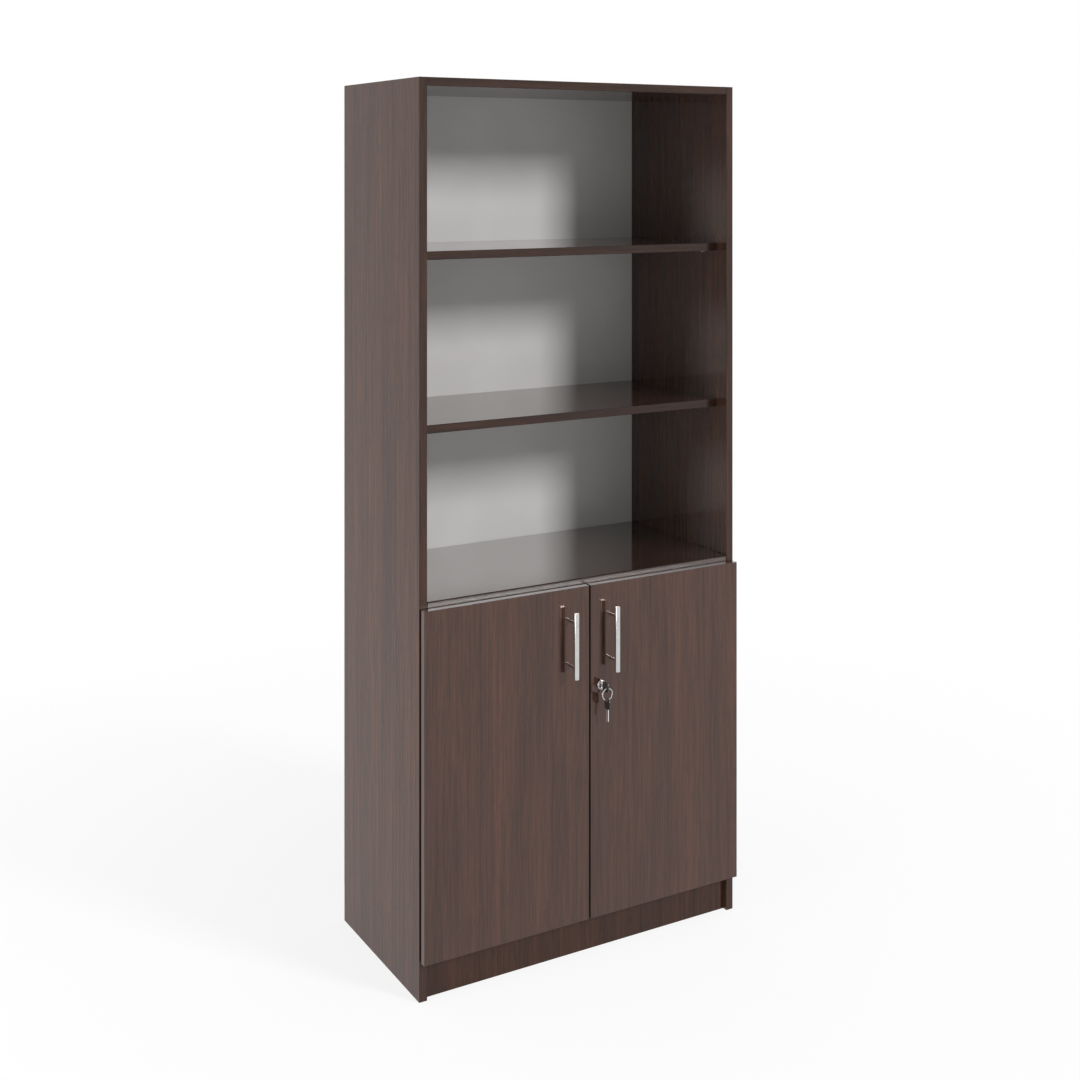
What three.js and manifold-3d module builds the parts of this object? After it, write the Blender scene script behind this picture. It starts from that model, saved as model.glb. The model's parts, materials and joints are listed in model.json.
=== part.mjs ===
// Bookcase with two open shelves above a cabinet with two hinged doors, in millimetres.
// X runs to the right, Y runs from the front to the back and Z runs up from the floor.
// Inside the model, Y is zero at the front edges of the side panels.

import * as THREE from 'three';
import { mergeVertices } from 'three/addons/utils/BufferGeometryUtils.js';
import Module from 'manifold-3d';

const wasm = await Module();
wasm.setup();

// Carcass
const cabinetWidth = 800;
const cabinetHeight = 1900;
const cabinetDepth = 400;
const boardThickness = 18;
const backThickness = 4;
const backEdgeReveal = 1;
const plinthHeight = 80;
const plinthSetBack = 12;
const middlePanelHeight = 801;

// Shelves and the pins that carry them
const openShelfSetBack = 37;
const cabinetShelfSetBack = 45;
const shelfEndClearance = 0.5;
const shelfBackClearance = 0.5;
const openShelfShares = [0.319, 0.66];
const cabinetShelfShare = 0.5;
const pinDiameter = 5;
const pinSeatDepth = 9;
const pinReach = 8;
const pinEdgeDistance = 50;
const pinTopGap = 0.2;

// Doors
const doorThickness = 16;
const doorBackGap = 3;
const doorSideReveal = 2.5;
const doorMiddleGap = 4;
const doorTopOverlap = 5;
const doorBottomRise = 2;

// Concealed hinges
const hingeEndDistance = 100;
const cupDiameter = 35;
const cupEdgeDistance = 3;
const cupDepth = 12.2;
const cupWall = 1;
const cupFloor = 0.8;
const cupFlangeThickness = 1;
const cupFlangeRim = 2;
const cupEarWidth = 12;
const cupEarSpan = 62;
const pivotEdgeDistance = 7.2;
const pivotDepth = 9;
const hingePinDiameter = 1.8;
const hingePinLength = 20;
const knuckleDiameter = 4;
const armLength = 13.5;
const armThickness = 2.2;
const armHeight = 8;
const armBodyHeight = 12;
const armBodyWidth = 7;
const armBodyStart = 10;
const armBodyLength = 46;
const plateThickness = 2;
const plateStart = 16;
const plateLength = 38;
const plateHeight = 16;
const plateWingSpan = 46;
const plateWingWidth = 12;

// Bar handles
const handleBarDiameter = 12;
const handleBarLength = 142;
const handleBarChamfer = 0.6;
const handleHoleSpacing = 96;
const handleProjection = 36;
const handleEdgeDistance = 50;
const handleTopDistance = 116;
const postDiameter = 5.6;
const postSeatDepth = 2.5;
const handleScrewDiameter = 3.8;
const handleScrewHeadDiameter = 8;
const handleScrewHeadHeight = 2.2;
const handleScrewGrip = 10;

// Cam lock
const lockEdgeDistance = 27.5;
const lockTopDistance = 220;
const lockFlangeDiameter = 20.5;
const lockFlangeThickness = 2.5;
const lockFlangeChamfer = 0.8;
const lockBarrelDiameter = 18;
const lockBarrelOverrun = 3.5;
const lockNutDiameter = 25;
const lockNutThickness = 2.6;
const plugDiameter = 12;
const plugShoulder = 0.4;
const plugTailSize = 6;
const camThickness = 2;
const camWidth = 14;
const camLength = 42;
const camPlay = 0.3;
const camScrewDiameter = 3;
const camScrewLength = 6;
const camScrewHeadDiameter = 9;
const camScrewHeadHeight = 2;

// Keys and their ring
const keyBladeWidth = 8;
const keyBladeThickness = 2;
const keyBladeLength = 28;
const keyBladeTip = 3;
const keyInsertion = 17;
const keyShoulderGap = 3.5;
const keyBowLength = 23;
const keyBowWidth = 21;
const keyBowCorner = 7;
const keyBowThickness = 3;
const keyBowPocket = 10;
const keyHoleDiameter = 5.6;
const keyHoleEndDistance = 4.6;
const ringDiameter = 25;
const ringWire = 2;
const ringRestGap = 0.3;

// Bolt on the back of the left door
const boltEdgeDistance = 16;
const boltHousingWidth = 20;
const boltHousingHeight = 52;
const boltHousingDepth = 15;
const boltTopGap = 5;
const boltDiameter = 6;
const boltSetBack = 10;
const boltTravel = 12;
const boltTipGap = 3;
const boltTailGap = 6;
const boltKnobDiameter = 4;
const boltKnobReach = 8;
const boltSocketDepth = 14;
const boltSocketDiameter = 10;

// Clearances and roundness
const seatClearance = 0.15;
const cutOverrun = 1;
const fineSegments = 32;
const coarseSegments = 16;
const cornerSegments = 4;

// Places that several pieces share
const halfWidth = cabinetWidth / 2;
const innerHalfWidth = halfWidth - boardThickness;
const carcassDepth = cabinetDepth - backThickness;
const doorBack = -doorBackGap;
const doorFront = doorBack - doorThickness;
const doorEdge = halfWidth - doorSideReveal;
const doorFreeEdge = doorMiddleGap / 2;
const doorBottom = plinthHeight + doorBottomRise;
const doorTop = middlePanelHeight + doorTopOverlap;
const middlePanelTop = middlePanelHeight + boardThickness;
const cabinetFloor = plinthHeight + boardThickness;
const topPanelUnderside = cabinetHeight - boardThickness;
const hingeHeights = [doorBottom + hingeEndDistance, doorTop - hingeEndDistance];
const handleX = doorFreeEdge + handleEdgeDistance;
const handleCentre = doorTop - handleTopDistance;
const handlePostHeights = [handleCentre - handleHoleSpacing / 2, handleCentre + handleHoleSpacing / 2];
const barAxisY = doorFront - handleProjection + handleBarDiameter / 2;
const lockX = doorFreeEdge + lockEdgeDistance;
const lockZ = doorTop - lockTopDistance;
const boltX = -(doorFreeEdge + boltEdgeDistance);
const boltY = doorBack + boltSetBack;

// Materials
function finish(color, roughness, metalness) {
  return new THREE.MeshStandardMaterial({ color, roughness, metalness });
}
const darkWood = finish(0x4e403b, 0.3, 0);
const paleBoard = finish(0xb5b3b0, 0.5, 0);
const polishedSteel = finish(0xc9c9c8, 0.25, 1);
const platedSteel = finish(0xa9a8a4, 0.35, 1);
const blackPlastic = finish(0x2b2625, 0.45, 0);

// Solids: three.js shapes them, and the solid library only joins and cuts them.
function toSolid(geometry) {
  const bare = geometry.clone();
  bare.deleteAttribute('normal');
  bare.deleteAttribute('uv');
  const merged = mergeVertices(bare);
  return new wasm.Manifold(new wasm.Mesh({
    numProp: 3,
    vertProperties: new Float32Array(merged.attributes.position.array),
    triVerts: new Uint32Array(merged.index.array),
  }));
}

function toGeometry(solid) {
  const mesh = solid.getMesh();
  const geometry = new THREE.BufferGeometry();
  geometry.setAttribute('position', new THREE.BufferAttribute(new Float32Array(mesh.vertProperties), 3));
  geometry.setIndex(new THREE.BufferAttribute(new Uint32Array(mesh.triVerts), 1));
  geometry.computeVertexNormals();
  return geometry;
}

function join(geometries) {
  const solids = geometries.map(toSolid);
  return toGeometry(solids.reduce((all, next) => all.add(next)));
}

function cut(body, tools) {
  return toGeometry(tools.map(toSolid).reduce((rest, tool) => rest.subtract(tool), toSolid(body)));
}

// A box from its low corner to its high corner
function block(x0, x1, y0, y1, z0, z1) {
  const geometry = new THREE.BoxGeometry(x1 - x0, y1 - y0, z1 - z0);
  return geometry.translate((x0 + x1) / 2, (y0 + y1) / 2, (z0 + z1) / 2);
}

// Round bars along each axis, from one end to the other
function rodX(diameter, x0, x1, y, z, segments = coarseSegments) {
  const geometry = new THREE.CylinderGeometry(diameter / 2, diameter / 2, x1 - x0, segments);
  return geometry.rotateZ(Math.PI / 2).translate((x0 + x1) / 2, y, z);
}

function rodY(diameter, y0, y1, x, z, segments = coarseSegments) {
  const geometry = new THREE.CylinderGeometry(diameter / 2, diameter / 2, y1 - y0, segments);
  return geometry.translate(x, (y0 + y1) / 2, z);
}

function rodZ(diameter, z0, z1, x, y, segments = coarseSegments) {
  const geometry = new THREE.CylinderGeometry(diameter / 2, diameter / 2, z1 - z0, segments);
  return geometry.rotateX(Math.PI / 2).translate(x, y, (z0 + z1) / 2);
}

// A solid of revolution about Y: each profile point is a radius and a Y place.
function turned(profile, x, z, segments = fineSegments) {
  const points = profile.map(([radius, y]) => new THREE.Vector2(radius, y));
  return new THREE.LatheGeometry(points, segments).translate(x, 0, z);
}

// The same shape on the other side of the middle plane
function mirrored(geometry) {
  const copy = mergeVertices(geometry.clone().scale(-1, 1, 1));
  const index = copy.index.array;
  for (let i = 0; i < index.length; i += 3) {
    const swap = index[i];
    index[i] = index[i + 1];
    index[i + 1] = swap;
  }
  return copy;
}

function onSide(side, geometry) {
  return side.direction < 0 ? geometry : mirrored(geometry);
}

const sides = [{ name: 'left', direction: -1 }, { name: 'right', direction: 1 }];
const ends = ['lower', 'upper'];

const group = new THREE.Group();

function addPiece(name, geometry, material) {
  const mesh = new THREE.Mesh(geometry, material);
  mesh.name = name;
  group.add(mesh);
}

// Shelves: each is a board with the pins that carry it
const openHeight = topPanelUnderside - middlePanelTop;
const cabinetClearHeight = middlePanelHeight - cabinetFloor;
const shelves = [
  {
    name: 'shelf_lower',
    underside: middlePanelTop + openHeight * openShelfShares[0],
    front: openShelfSetBack,
  },
  {
    name: 'shelf_upper',
    underside: middlePanelTop + openHeight * openShelfShares[1],
    front: openShelfSetBack,
  },
  {
    name: 'shelf_cabinet',
    underside: cabinetFloor + (cabinetClearHeight - boardThickness) * cabinetShelfShare,
    front: cabinetShelfSetBack,
  },
];
const shelfBack = carcassDepth - shelfBackClearance;
const shelfHalfLength = innerHalfWidth - shelfEndClearance;

function pinPlaces(shelf) {
  const z = shelf.underside - pinTopGap - pinDiameter / 2;
  return [
    { name: 'front', y: shelf.front + pinEdgeDistance, z },
    { name: 'back', y: shelfBack - pinEdgeDistance, z },
  ];
}

function shelfBoard(shelf) {
  return block(-shelfHalfLength, shelfHalfLength, shelf.front, shelfBack,
    shelf.underside, shelf.underside + boardThickness);
}

// The pins on the left side: a rod in the side panel with a reach under the shelf
function shelfPin(place) {
  return rodX(pinDiameter, -innerHalfWidth - pinSeatDepth, -innerHalfWidth + pinReach, place.y, place.z);
}

function pinHole(place) {
  const seatEnd = -innerHalfWidth - pinSeatDepth - seatClearance;
  return rodX(pinDiameter + 2 * seatClearance, seatEnd, -innerHalfWidth + cutOverrun, place.y, place.z);
}

for (const shelf of shelves) {
  addPiece(shelf.name, shelfBoard(shelf), darkWood);
  for (const place of pinPlaces(shelf)) {
    for (const side of sides) {
      addPiece(`pin_${shelf.name}_${place.name}_${side.name}`, onSide(side, shelfPin(place)), platedSteel);
    }
  }
}

// Carcass boards
function sidePanel() {
  const board = block(-halfWidth, -innerHalfWidth, 0, carcassDepth, 0, cabinetHeight);
  return cut(board, shelves.flatMap(pinPlaces).map(pinHole));
}

function crossPanel(z) {
  return block(-innerHalfWidth, innerHalfWidth, 0, carcassDepth, z, z + boardThickness);
}

// The middle panel has a blind hole in its underside for the bolt of the left door
function middlePanel() {
  const holeTop = middlePanelHeight + boltSocketDepth;
  const holeStart = middlePanelHeight - cutOverrun;
  const socket = rodZ(boltSocketDiameter, holeStart, holeTop, boltX, boltY);
  return cut(crossPanel(middlePanelHeight), [socket]);
}

for (const side of sides) {
  addPiece(`side_${side.name}`, onSide(side, sidePanel()), darkWood);
}
addPiece('top_panel', crossPanel(topPanelUnderside), darkWood);
addPiece('middle_panel', middlePanel(), darkWood);
addPiece('bottom_panel', crossPanel(plinthHeight), darkWood);
addPiece('plinth', block(-innerHalfWidth, innerHalfWidth, plinthSetBack, plinthSetBack + boardThickness,
  0, plinthHeight), darkWood);
addPiece('back_panel', block(backEdgeReveal - halfWidth, halfWidth - backEdgeReveal,
  carcassDepth, cabinetDepth, plinthHeight, cabinetHeight - backEdgeReveal), paleBoard);

// Hinges, drawn for the left door: places across are counted from that door's outer edge
const cupX = cupEdgeDistance + cupDiameter / 2 - doorEdge;
const cupY = doorBack - cupDepth;
const pivotX = pivotEdgeDistance - doorEdge;
const pivotY = doorBack - pivotDepth;
const armX = pivotX + armLength;
const plateInner = plateThickness - innerHalfWidth;

function hingeCup(z) {
  const outer = cupDiameter / 2;
  const inner = outer - cupWall;
  const rim = outer + cupFlangeRim;
  const flangeTop = doorBack + cupFlangeThickness;
  const shell = turned([
    [0, cupY], [outer, cupY], [outer, doorBack], [rim, doorBack],
    [rim, flangeTop], [inner, flangeTop], [inner, cupY + cupFloor], [0, cupY + cupFloor],
  ], cupX, z);
  const ears = block(cupX - cupEarWidth / 2, cupX + cupEarWidth / 2, doorBack, flangeTop,
    z - cupEarSpan / 2, z + cupEarSpan / 2);
  const mouth = rodY(2 * inner, doorBack - cutOverrun, flangeTop + cutOverrun, cupX, z, fineSegments);
  const pin = rodZ(hingePinDiameter, z - hingePinLength / 2, z + hingePinLength / 2, pivotX, pivotY);
  return join([shell, cut(ears, [mouth]), pin]);
}

function cupHole(z) {
  const diameter = cupDiameter + 2 * seatClearance;
  return rodY(diameter, cupY - seatClearance, doorBack + cutOverrun, cupX, z, fineSegments);
}

// The arm runs from its knuckle on the pin, across the cup, out of its mouth and back to the plate.
function hingeArm(z) {
  const low = z - armHeight / 2;
  const high = z + armHeight / 2;
  const half = armThickness / 2;
  const bodyFront = armBodyStart;
  const bodyBack = armBodyStart + armBodyLength;
  const knuckle = rodZ(knuckleDiameter, low, high, pivotX, pivotY);
  const across = block(pivotX, armX + half, pivotY - half, pivotY + half, low, high);
  const back = block(armX - half, armX + half, pivotY - half, bodyFront + half, low, high);
  const body = block(plateInner, plateInner + armBodyWidth, bodyFront, bodyBack,
    z - armBodyHeight / 2, z + armBodyHeight / 2);
  const pinHoleDiameter = hingePinDiameter + 2 * seatClearance;
  const bore = rodZ(pinHoleDiameter, low - cutOverrun, high + cutOverrun, pivotX, pivotY);
  return cut(join([knuckle, across, back, body]), [bore]);
}

function hingePlate(z) {
  const wingStart = plateStart + (plateLength - plateWingWidth) / 2;
  const base = block(-innerHalfWidth, plateInner, plateStart, plateStart + plateLength,
    z - plateHeight / 2, z + plateHeight / 2);
  const wings = block(-innerHalfWidth, plateInner, wingStart, wingStart + plateWingWidth,
    z - plateWingSpan / 2, z + plateWingSpan / 2);
  return join([base, wings]);
}

for (const side of sides) {
  hingeHeights.forEach((z, i) => {
    const name = `${side.name}_${ends[i]}`;
    addPiece(`hinge_cup_${name}`, onSide(side, hingeCup(z)), platedSteel);
    addPiece(`hinge_arm_${name}`, onSide(side, hingeArm(z)), platedSteel);
    addPiece(`hinge_plate_${name}`, onSide(side, hingePlate(z)), platedSteel);
  });
}

// Handles, drawn for the left door
const barBack = barAxisY + handleBarDiameter / 2;
const postFront = barBack - postSeatDepth;

function handleBar() {
  const radius = handleBarDiameter / 2;
  const half = handleBarLength / 2;
  const bar = turned([
    [0, -half], [radius - handleBarChamfer, -half], [radius, handleBarChamfer - half],
    [radius, half - handleBarChamfer], [radius - handleBarChamfer, half], [0, half],
  ], 0, 0).rotateX(Math.PI / 2).translate(-handleX, barAxisY, handleCentre);
  const seatDiameter = postDiameter + 2 * seatClearance;
  const seatStart = postFront - seatClearance;
  const seatEnd = barBack + cutOverrun;
  return cut(bar, handlePostHeights.map((z) => rodY(seatDiameter, seatStart, seatEnd, -handleX, z)));
}

function handlePost(z) {
  const post = rodY(postDiameter, postFront, doorFront, -handleX, z);
  const threadDiameter = handleScrewDiameter + 2 * seatClearance;
  const threadStart = doorFront - handleScrewGrip - seatClearance;
  const thread = rodY(threadDiameter, threadStart, doorFront + cutOverrun, -handleX, z);
  return cut(post, [thread]);
}

function handleScrew(z) {
  const shank = rodY(handleScrewDiameter, doorFront - handleScrewGrip, doorBack + cutOverrun, -handleX, z);
  const head = rodY(handleScrewHeadDiameter, doorBack, doorBack + handleScrewHeadHeight, -handleX, z);
  return join([shank, head]);
}

function handleScrewHole(z) {
  const diameter = handleScrewDiameter + 2 * seatClearance;
  return rodY(diameter, doorFront - cutOverrun, doorBack + cutOverrun, -handleX, z);
}

for (const side of sides) {
  addPiece(`handle_bar_${side.name}`, onSide(side, handleBar()), polishedSteel);
  handlePostHeights.forEach((z, i) => {
    const name = `${side.name}_${ends[i]}`;
    addPiece(`handle_post_${name}`, onSide(side, handlePost(z)), polishedSteel);
    addPiece(`handle_screw_${name}`, onSide(side, handleScrew(z)), platedSteel);
  });
}

// Doors
function doorSlab() {
  const slab = block(-doorEdge, -doorFreeEdge, doorFront, doorBack, doorBottom, doorTop);
  return cut(slab, [...hingeHeights.map(cupHole), ...handlePostHeights.map(handleScrewHole)]);
}

function lockHole() {
  const diameter = lockBarrelDiameter + 2 * seatClearance;
  return rodY(diameter, doorFront - cutOverrun, doorBack + cutOverrun, lockX, lockZ, fineSegments);
}

addPiece('door_left', doorSlab(), darkWood);
addPiece('door_right', cut(mirrored(doorSlab()), [lockHole()]), darkWood);

// Cam lock in the right door
const lockFace = doorFront - lockFlangeThickness;
const barrelEnd = doorBack + lockBarrelOverrun;
const plugEnd = barrelEnd + plugShoulder;
const tailEnd = plugEnd + camThickness + camPlay;

function lockHousing() {
  const bore = plugDiameter / 2 + seatClearance;
  const flange = lockFlangeDiameter / 2;
  const barrel = lockBarrelDiameter / 2;
  return turned([
    [bore, lockFace], [flange - lockFlangeChamfer, lockFace], [flange, lockFace + lockFlangeChamfer],
    [flange, doorFront], [barrel, doorFront], [barrel, barrelEnd], [bore, barrelEnd], [bore, lockFace],
  ], lockX, lockZ);
}

function lockNut() {
  const bore = lockBarrelDiameter / 2 + seatClearance;
  const rim = lockNutDiameter / 2;
  const nutEnd = doorBack + lockNutThickness;
  return turned([[bore, doorBack], [rim, doorBack], [rim, nutEnd], [bore, nutEnd], [bore, doorBack]],
    lockX, lockZ);
}

function lockPlug() {
  const halfTail = plugTailSize / 2;
  const core = rodY(plugDiameter, lockFace, plugEnd, lockX, lockZ, fineSegments);
  const tail = block(lockX - halfTail, lockX + halfTail, plugEnd - cutOverrun, tailEnd,
    lockZ - halfTail, lockZ + halfTail);
  const halfSlot = keyBladeThickness / 2 + seatClearance;
  const slotHeight = keyBladeWidth / 2 + seatClearance;
  const keyway = block(lockX - halfSlot, lockX + halfSlot, lockFace - cutOverrun,
    lockFace + keyInsertion + seatClearance, lockZ - slotHeight, lockZ + slotHeight);
  const holeDiameter = camScrewDiameter + 2 * seatClearance;
  const holeStart = tailEnd - camScrewLength - seatClearance;
  const screwHole = rodY(holeDiameter, holeStart, tailEnd + cutOverrun, lockX, lockZ);
  return cut(join([core, tail]), [keyway, screwHole]);
}

// The cam hangs down when the lock is open, and turns behind the left door.
function lockCam() {
  const camStart = plugEnd + camPlay / 2;
  const halfCam = camWidth / 2;
  const halfHole = plugTailSize / 2 + seatClearance;
  const outline = new THREE.Shape();
  outline.absarc(0, 0, halfCam, 0, Math.PI);
  outline.lineTo(-halfCam, halfCam - camLength);
  outline.absarc(0, halfCam - camLength, halfCam, Math.PI, 2 * Math.PI);
  const hole = new THREE.Path();
  hole.moveTo(-halfHole, -halfHole);
  hole.lineTo(-halfHole, halfHole);
  hole.lineTo(halfHole, halfHole);
  hole.lineTo(halfHole, -halfHole);
  outline.holes.push(hole);
  const plate = new THREE.ExtrudeGeometry(outline, {
    depth: camThickness,
    bevelEnabled: false,
    curveSegments: coarseSegments / 2,
  });
  return plate.rotateX(Math.PI / 2).translate(lockX, camStart + camThickness, lockZ);
}

function camScrew() {
  const shank = rodY(camScrewDiameter, tailEnd - camScrewLength, tailEnd + cutOverrun, lockX, lockZ);
  const head = rodY(camScrewHeadDiameter, tailEnd, tailEnd + camScrewHeadHeight, lockX, lockZ);
  return join([shank, head]);
}

addPiece('lock_housing', lockHousing(), polishedSteel);
addPiece('lock_nut', lockNut(), platedSteel);
addPiece('lock_plug', lockPlug(), polishedSteel);
addPiece('lock_cam', lockCam(), platedSteel);
addPiece('lock_cam_screw', camScrew(), platedSteel);

// Keys, drawn hanging down in the plane X = 0 with the ring's hole at the origin
const bowTop = keyHoleEndDistance;
const bowBottom = keyHoleEndDistance - keyBowLength;

function keyBow() {
  const half = keyBowWidth / 2;
  const flat = half - keyBowCorner;
  const low = bowBottom + keyBowCorner;
  const high = bowTop - keyBowCorner;
  const outline = new THREE.Shape();
  outline.absarc(flat, high, keyBowCorner, 0, Math.PI / 2);
  outline.absarc(-flat, high, keyBowCorner, Math.PI / 2, Math.PI);
  outline.absarc(-flat, low, keyBowCorner, Math.PI, Math.PI * 3 / 2);
  outline.absarc(flat, low, keyBowCorner, Math.PI * 3 / 2, Math.PI * 2);
  const plate = new THREE.ExtrudeGeometry(outline, {
    depth: keyBowThickness,
    bevelEnabled: false,
    curveSegments: cornerSegments,
  });
  plate.translate(0, 0, -keyBowThickness / 2).rotateX(Math.PI / 2).rotateZ(Math.PI / 2);
  const hole = rodX(keyHoleDiameter, -keyBowThickness, keyBowThickness, 0, 0);
  const halfPocket = keyBladeThickness / 2 + seatClearance;
  const pocketWidth = keyBladeWidth / 2 + seatClearance;
  const pocket = block(-halfPocket, halfPocket, -pocketWidth, pocketWidth,
    bowBottom - cutOverrun, bowBottom + keyBowPocket + seatClearance);
  return cut(plate, [hole, pocket]);
}

function keyBlade(length) {
  const half = keyBladeWidth / 2;
  const top = bowBottom + keyBowPocket;
  const tip = bowBottom - length;
  const outline = new THREE.Shape();
  outline.moveTo(-half, top);
  outline.lineTo(-half, tip + keyBladeTip);
  outline.lineTo(0, tip);
  outline.lineTo(half, tip + keyBladeTip);
  outline.lineTo(half, top);
  const plate = new THREE.ExtrudeGeometry(outline, { depth: keyBladeThickness, bevelEnabled: false });
  return plate.translate(0, 0, -keyBladeThickness / 2).rotateX(Math.PI / 2).rotateZ(Math.PI / 2);
}

// The key in the lock lies along Y, and its bow ends in front of the lock's face.
const ringHoleY = lockFace - keyShoulderGap - keyBowLength + keyHoleEndDistance;
const ringHang = (keyHoleDiameter - ringWire) / 2 - ringRestGap;
const ringTopZ = lockZ - ringHang;
const ringBottomZ = ringTopZ - ringDiameter;
const spareHoleZ = ringBottomZ - ringHang;

function inLock(geometry) {
  return geometry.rotateX(Math.PI / 2).translate(lockX, ringHoleY, lockZ);
}

function onRing(geometry) {
  return geometry.translate(lockX, ringHoleY, spareHoleZ);
}

function keyRing() {
  const ring = new THREE.TorusGeometry(ringDiameter / 2, ringWire / 2, coarseSegments / 2, fineSegments);
  return ring.rotateX(Math.PI / 2).translate(lockX, ringHoleY, (ringTopZ + ringBottomZ) / 2);
}

addPiece('key_blade', inLock(keyBlade(keyShoulderGap + keyInsertion)), platedSteel);
addPiece('key_bow', inLock(keyBow()), blackPlastic);
addPiece('key_ring', keyRing(), polishedSteel);
addPiece('spare_key_blade', onRing(keyBlade(keyBladeLength)), platedSteel);
addPiece('spare_key_bow', onRing(keyBow()), blackPlastic);

// Bolt that holds the left door: its knob runs in a slot of the housing
const housingTop = middlePanelHeight - boltTopGap;
const housingBottom = housingTop - boltHousingHeight;
const boltTip = middlePanelHeight - boltTipGap;
const boltTail = housingBottom + boltTailGap;
const knobZ = (housingTop + housingBottom - boltTravel) / 2;

function boltHousing() {
  const halfHousing = boltHousingWidth / 2;
  const halfSlot = boltKnobDiameter / 2 + seatClearance;
  const housingBack = doorBack + boltHousingDepth;
  const box = block(boltX - halfHousing, boltX + halfHousing, doorBack, housingBack,
    housingBottom, housingTop);
  const bore = rodZ(boltDiameter + 2 * seatClearance, housingBottom - cutOverrun, housingTop + cutOverrun,
    boltX, boltY);
  const slot = block(boltX - halfSlot, boltX + halfSlot, boltY, housingBack + cutOverrun,
    knobZ - halfSlot, knobZ + boltTravel + halfSlot);
  return cut(box, [bore, slot]);
}

function boltRod() {
  const rod = rodZ(boltDiameter, boltTail, boltTip, boltX, boltY);
  const knob = rodY(boltKnobDiameter, boltY, doorBack + boltHousingDepth + boltKnobReach, boltX, knobZ);
  return join([rod, knob]);
}

addPiece('bolt_housing', boltHousing(), platedSteel);
addPiece('bolt_rod', boltRod(), platedSteel);

// The origin is on the floor, under the middle of the whole object's length and depth.
const objectFront = doorFront - handleProjection;
group.position.y = -(objectFront + cabinetDepth) / 2;

export default group;
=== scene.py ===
# Looks for the bookcase with cabinet doors. Lengths are in metres, apart from those whose names end in _MM.

import json
import math

import bmesh
import bpy
from mathutils import Matrix, Vector

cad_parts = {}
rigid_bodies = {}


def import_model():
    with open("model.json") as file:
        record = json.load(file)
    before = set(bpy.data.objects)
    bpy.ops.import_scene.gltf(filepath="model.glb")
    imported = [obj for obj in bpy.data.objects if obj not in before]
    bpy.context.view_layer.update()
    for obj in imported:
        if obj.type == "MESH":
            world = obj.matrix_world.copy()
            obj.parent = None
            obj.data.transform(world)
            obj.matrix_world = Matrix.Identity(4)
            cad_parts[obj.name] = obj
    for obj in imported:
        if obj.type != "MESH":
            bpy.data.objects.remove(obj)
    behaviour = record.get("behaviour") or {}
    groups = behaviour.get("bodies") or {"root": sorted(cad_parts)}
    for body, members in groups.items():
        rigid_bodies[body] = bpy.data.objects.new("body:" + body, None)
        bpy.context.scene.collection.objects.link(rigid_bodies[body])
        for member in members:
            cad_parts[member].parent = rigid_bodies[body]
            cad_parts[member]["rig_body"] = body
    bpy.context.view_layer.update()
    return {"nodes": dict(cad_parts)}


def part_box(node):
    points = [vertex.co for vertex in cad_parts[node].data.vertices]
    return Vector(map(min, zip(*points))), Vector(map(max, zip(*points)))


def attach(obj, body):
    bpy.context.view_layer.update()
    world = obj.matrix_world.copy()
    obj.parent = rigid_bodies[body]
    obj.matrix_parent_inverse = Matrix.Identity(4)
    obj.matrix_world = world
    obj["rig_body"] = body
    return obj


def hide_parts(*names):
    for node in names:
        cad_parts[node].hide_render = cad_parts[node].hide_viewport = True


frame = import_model()

MM = 0.001
SIDES = ("left", "right")
ENDS = ("lower", "upper")
FRONT = Vector((0, -1, 0))
BACK = Vector((0, 1, 0))
RIGHT = Vector((1, 0, 0))
UP = Vector((0, 0, 1))


# Sizes and places, worked out from the frame

def centre(node):
    low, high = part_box(node)
    return (low + high) / 2


def size(node):
    low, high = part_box(node)
    return high - low


def body_of(node):
    return frame["nodes"][node]["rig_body"]


# Material nodes

# Noise stays mostly between these two values
NOISE_LOW = 0.3
NOISE_HIGH = 0.7
# A wave texture of scale 1 turns by this many radians a metre
WAVE_RADIANS = 20
# The numbers of a mix node's sockets for colours
MIX_UNDER = 6
MIX_OVER = 7
MIX_RESULT = 2


def set_inputs(node, values):
    """Fixed values on the node's own sockets."""
    for name, value in values.items():
        node.inputs[name].default_value = value


def scaled(colour, factor):
    return tuple(factor * part for part in colour)


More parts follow.
